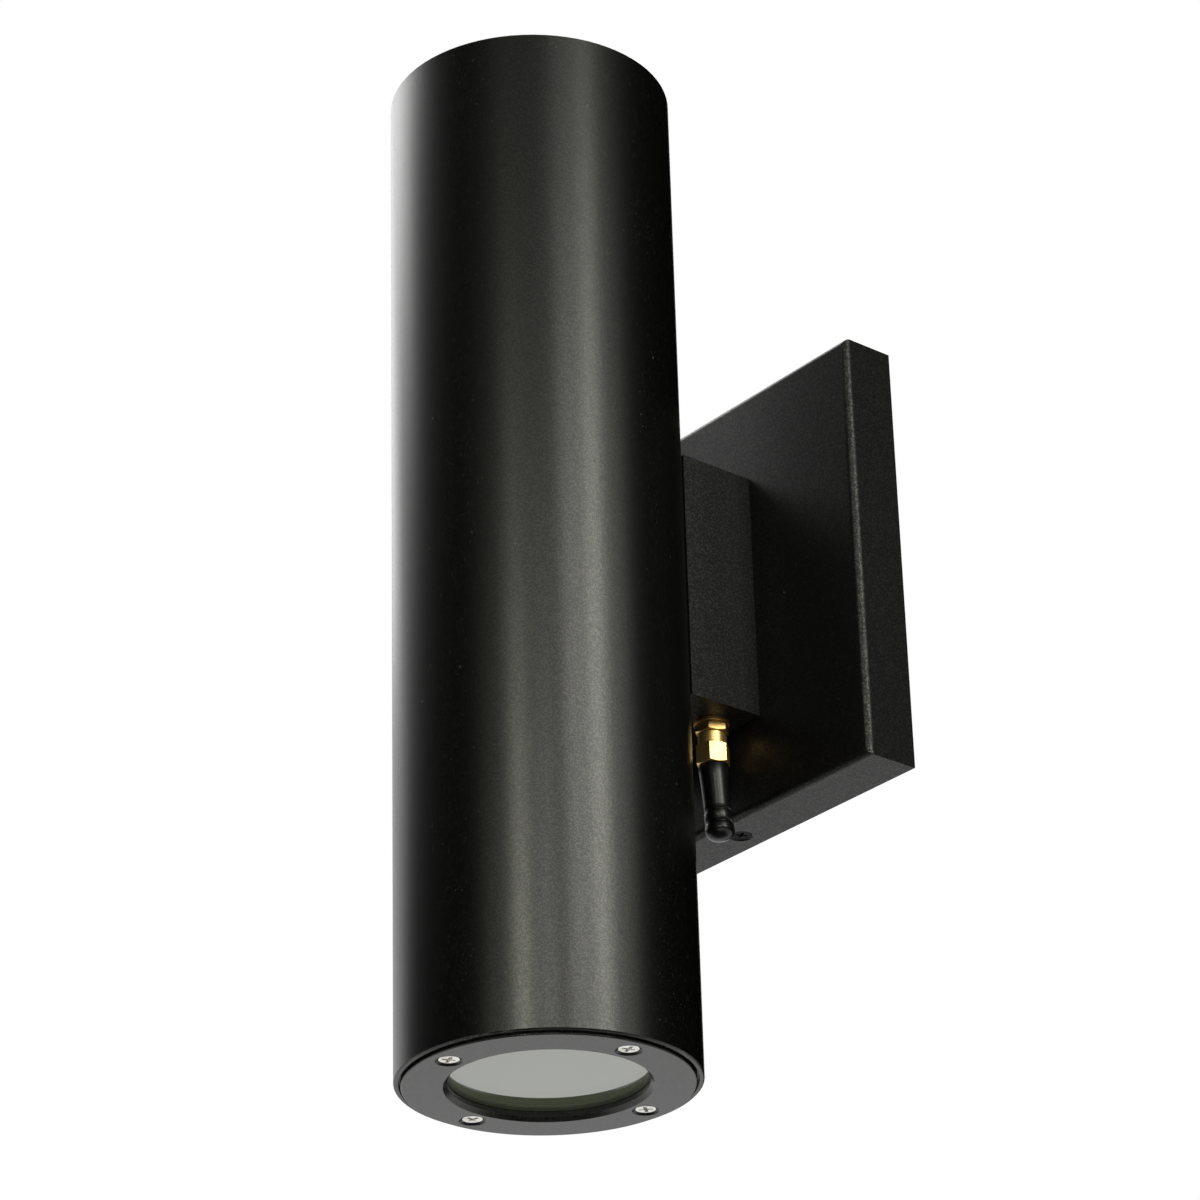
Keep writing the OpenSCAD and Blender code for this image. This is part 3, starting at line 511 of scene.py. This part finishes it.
def make_screws():
    places = {}
    for end, way in (("lower", -1), ("upper", 1)):
        z = way * (TUBE_END + RING_PROUD - RING_SCREW_SUNK)
        places[end] = []
        for turn in range(4):
            spot = spin(90 * turn) @ Vector((RING_SCREW_CIRCLE, 0, 0))
            places[end].append(screw_place(spot.x, spot.y + TUBE_Y, z, lean=17 + 31 * turn))
    for end in places:
        screws = copies_at(flat_screw(head=5.3, shank=3, length=9, cross=0.68), places[end])
        # Each screw's second finish is the painted shade in its cross hole.
        finish_piece(screws, f"{end}_ring_screw_set", "steel", "sconce", [f"{end}_ring_screws"],
                     ["steel", "recess_painted_shade"])

    z = PLATE_EDGE - PLATE_SCREW_SUNK
    places = [screw_place(PLATE_SCREW_X, PLATE_SCREW_Y, way * z, lean=24) for way in (-1, 1)]
    screws = copies_at(flat_screw(head=5.9, shank=3.5, length=9, cross=0.55), places)
    finish_piece(screws, "plate_screw_pair", "black_screw", "sconce", ["plate_screws"],
                 ["black_screw", "black_screw"])


def hang(piece, depth=0.0, swing=Matrix()):
    """Moves a piece to its place below the arm, where its heights run down the antenna's axis.

    depth is where its height 0 comes, below the arm. swing turns it first."""
    mirror = Matrix.Scale(-1, 4, (0, 0, 1))
    piece.data.transform(Matrix.Translation(ANTENNA) @ mirror @ Matrix.Translation((0, 0, depth)) @ swing)
    piece.data.flip_normals()
    activate(piece)


def make_rubber():
    """The antenna's sleeve: a slight taper, two grooves with a bead between them, and a ball end."""
    socket = [(0.5, 5.6), (2.7, 5.6), (2.7, 0.12), (2.85, 0), (3.72, 0), (3.9, 0.06), (4.0, 0.3)]
    taper = [(4.0 - 0.4 * t - 0.05 * math.sin(math.pi * t), 0.3 + 11.9 * t)
             for t in (0.25, 0.5, 0.75, 0.92)]
    groove = [(3.58, 12.3), (3.48, 12.45), (3.3, 12.52), (3.17, 12.62), (3.15, 12.75), (3.17, 12.88),
              (3.3, 12.98), (3.52, 13.02)]
    bead = [(3.68, 13.14), (3.75, 13.36), (3.76, 14.35), (3.75, 15.34), (3.68, 15.56), (3.52, 15.68)]
    lower_groove = [(3.3, 15.72), (3.17, 15.82), (3.15, 15.95), (3.17, 16.08), (3.25, 16.17)]
    shoulder = [(3.42, 16.26), (3.68, 16.52), (3.85, 16.95)]
    ball_middle = 17.96
    ball = [(3.9 * math.cos(a), ball_middle + 2.64 * math.sin(a))
            for a in (math.radians(step) for step in range(-12, 88, 6))]
    sleeve = ringed(socket + taper + groove + bead + lower_groove + shoulder + ball, 72)
    smooth(60)
    hang(sleeve, SLEEVE_TOP, spin(SLEEVE_LEAN_WAY) @ spin(SLEEVE_LEAN, "Y"))
    finish_piece(sleeve, "rubber_sleeve", "antenna_rubber", "antenna", ["antenna_rubber"])


def thread(major, minor, pitch, low, high):
    """A rod with a real helical thread about the Z axis, cut flat at both ends."""
    clear_selection()
    bpy.ops.mesh.primitive_plane_add(size=MM)
    select("VERT", lambda point: point.index > 0)
    bpy.ops.mesh.delete(type="VERT")
    bpy.ops.object.mode_set(mode="OBJECT")
    rod = bpy.context.object
    rod.data.vertices[0].co = (minor, 0, low - 1.5 * pitch)
    edit_all()
    rise = major - minor
    flank, crest, root = 0.42 * pitch, 0.12 * pitch, 0.04 * pitch
    for step in ((rise, 0, flank), (0, 0, crest), (-rise, 0, flank), (0, 0, root)):
        bpy.ops.mesh.extrude_region_move(TRANSFORM_OT_translate={"value": step})
    bpy.ops.object.mode_set(mode="OBJECT")
    apply("SCREW", axis="Z", angle=2 * math.pi, screw_offset=pitch,
          iterations=int((high - low) / pitch) + 3, steps=48, render_steps=48,
          use_merge_vertices=True, merge_threshold=0.001 * MM)
    edit_all()
    bpy.ops.mesh.remove_doubles(threshold=0.002 * MM)
    for height, upward in ((high, 1), (low, -1)):
        bpy.ops.mesh.select_all(action="SELECT")
        bpy.ops.mesh.bisect(plane_co=(0, 0, height), plane_no=(0, 0, upward), use_fill=True,
                            clear_outer=True)
    bpy.ops.mesh.select_all(action="SELECT")
    bpy.ops.mesh.normals_make_consistent(inside=False)
    bpy.ops.object.mode_set(mode="OBJECT")
    smooth(30)
    return rod


def make_socket():
    """The antenna's socket: a threaded barrel below the arm, and a hexagon and crimp barrel inside it."""
    rod = thread(3.175 * MM, 2.75 * MM, THREAD_PITCH, low=-2.3 * MM, high=9 * MM)
    clear_selection()
    bpy.ops.mesh.primitive_cylinder_add(vertices=6, radius=4.62 * MM, depth=2 * MM,
                                        location=(0, 0, -3.3 * MM),
                                        rotation=(0, 0, math.radians(FLANGE_TURN)))
    bpy.ops.object.transform_apply(location=True, rotation=True)
    apply("BEVEL", width=0.15 * MM, segments=2, limit_method="ANGLE")
    flange = bpy.context.object
    barrel = ringed([(0.7, -10.3), (1.85, -10.3), (2, -10.15), (2, -8), (1.9, -7.9), (1.9, -7.3),
                     (2, -7.2), (2, -4.35), (0.7, -4.35), (0.7, -10.3)], 48)
    clear_selection()
    bpy.ops.mesh.primitive_cylinder_add(vertices=64, radius=2.25 * MM, depth=12 * MM,
                                        location=(0, 0, 5.5 * MM))
    bpy.ops.object.transform_apply(location=True)
    bore = bpy.context.object
    activate(rod)
    cut(bore)
    for part in (flange, barrel):
        part.select_set(True)
    bpy.ops.object.join()
    smooth(35)
    hang(rod)
    finish_piece(rod, "socket", "gold_brass", stands_for=["antenna_jack"])


def make_pieces():
    dressed("tube_housing", "tube", "black_coat", 0.08 * MM, looks=["tube_coat"])
    # The arm wears the lighter copy of the black coat, which paints light onto its side.
    dressed("arm_box", "arm", "black_coat", 0.2 * MM, looks=["arm_coat_painted_light"])
    dressed("back_plate", "plate", "black_coat", 0.15 * MM, looks=["cast_coat"])
    dressed("wall_strap", "strap", "zinc", 0.1 * MM)
    for end in ("lower", "upper"):
        dressed(f"{end}_trim_ring", f"{end}_ring", "ring_coat", 0.06 * MM)
    dressed("tie_nuts", "tie_nut_pair", "steel", 0.15 * MM)
    dressed("tie_washers", "tie_washer_pair", "steel", 0.08 * MM)
    dressed("ground_screw", "green_screw", "green_zinc", 0.1 * MM)
    dressed("antenna_washer", "washer", "gold_brass", 0.08 * MM)
    dressed("antenna_nut", "jam_nut", "gold_brass", 0.05 * MM, turn=HEX_TURN)
    dressed("coupling_nut", "coupling", "gold_brass", 0.06 * MM, "coupling_nut", turn=HEX_TURN)
    make_screws()
    make_rubber()
    make_socket()


def dress_solids():
    """Every solid that still shows gets its slot's finish."""
    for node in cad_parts:
        solid = bpy.data.objects[node]
        for slot in solid.material_slots:
            slot.material = FINISHES[slot.material.name.split(".")[0]]


def lamp(name, toward, distance, wide, tall, radiance, colour):
    """A softbox that faces the light."""
    turn = math.radians(FRONT + toward[0])
    rise = math.radians(toward[1])
    out = Vector((math.sin(turn) * math.cos(rise), -math.cos(turn) * math.cos(rise), math.sin(rise)))
    data = bpy.data.lights.new(name, "AREA")
    data.shape = "RECTANGLE"
    data.size = wide
    data.size_y = tall
    data.energy = radiance * wide * tall * math.pi
    data.color = colour
    box = bpy.data.objects.new(name, data)
    box.visible_camera = False
    box.location = Vector((0, TUBE_Y, 0)) + out * distance
    box.rotation_euler = out.to_track_quat("Z", "Y").to_euler()
    bpy.context.collection.objects.link(box)


def make_floor():
    """The floor, and the room round it: white where they are seen, and duller as a light."""
    clear_selection()
    bpy.ops.mesh.primitive_plane_add(size=16, location=(0, 0, -1))
    floor = bpy.context.object
    floor.name = "floor"
    f = new_finish("floor")
    f.output(f.node("ShaderNodeMixShader", (), {0: f.seen() * 0.8, 1: f.matte(0.8), 2: f.glow(1.0)}))
    floor.data.materials.append(f.owner)

    bpy.context.scene.world = bpy.data.worlds.new("studio")
    w = Finish(bpy.context.scene.world)
    room, white = (w.node("ShaderNodeBackground", (), {"Color": (level, level, level)})
                   for level in (0.5, 1))
    w.output(w.node("ShaderNodeMixShader", (), {0: w.seen(), 1: room, 2: white}), "World")


def mirrored_only(cloth, finish):
    """Makes a cloth of the studio seen only in reflections, with the given finish."""
    cloth.data.materials.append(finish.owner)
    cloth.visible_camera = False
    cloth.visible_diffuse = False
    cloth.visible_transmission = False
    cloth.visible_shadow = False


def make_curtain():
    """A black curtain round the camera's side. Its left edge draws back from low_z to high_z."""
    left, right = -128, 172  # degrees right of FRONT
    drawn_back, low_z, high_z = 28, 0.9, 2.1
    clear_selection()
    bpy.ops.mesh.primitive_cylinder_add(vertices=180, radius=3, depth=8, end_fill_type="NOTHING",
                                        location=(0, 0, 2.99))
    bpy.ops.object.transform_apply(location=True)
    curtain = bpy.context.object
    curtain.name = "curtain"
    points = curtain.data.vertices
    select("EDGE", lambda edge: abs(points[edge.vertices[0]].co.z - points[edge.vertices[1]].co.z) > 1)
    bpy.ops.mesh.subdivide(number_cuts=60)
    bpy.ops.object.mode_set(mode="OBJECT")

    def is_open(face):
        turn = math.degrees(math.atan2(face.center.x, -face.center.y)) - FRONT
        turn = (turn + 180) % 360 - 180
        back = min(max((face.center.z - low_z) / (high_z - low_z), 0), 1)
        return not left + drawn_back * back < turn < right

    select("FACE", is_open)
    bpy.ops.mesh.delete(type="FACE")
    bpy.ops.object.mode_set(mode="OBJECT")
    f = new_finish("curtain")
    f.output(f.matte(0))
    mirrored_only(curtain, f)


def make_painted_reflection_sheet():
    """A glowing grey sheet just above the floor, seen only in reflections: a painted reflection that makes
    the floor's mirror image grey right under the light, while it stays white further out.
    """
    clear_selection()
    bpy.ops.mesh.primitive_plane_add(size=1.45, location=(0, -0.02, -0.99))
    bpy.ops.object.transform_apply(location=True)
    sheet = bpy.context.object
    sheet.name = "painted_reflection_sheet"
    sheet.data.transform(spin(FRONT))
    f = new_finish("painted_reflection_sheet")
    # Painted reflection: a faint glow that only reflections see.
    f.output(f.glow(0.1))
    mirrored_only(sheet, f)


set_camera()
make_finishes()
make_pieces()
dress_solids()
make_floor()
make_curtain()
make_painted_reflection_sheet()
for settings in LAMPS:
    lamp(*settings)
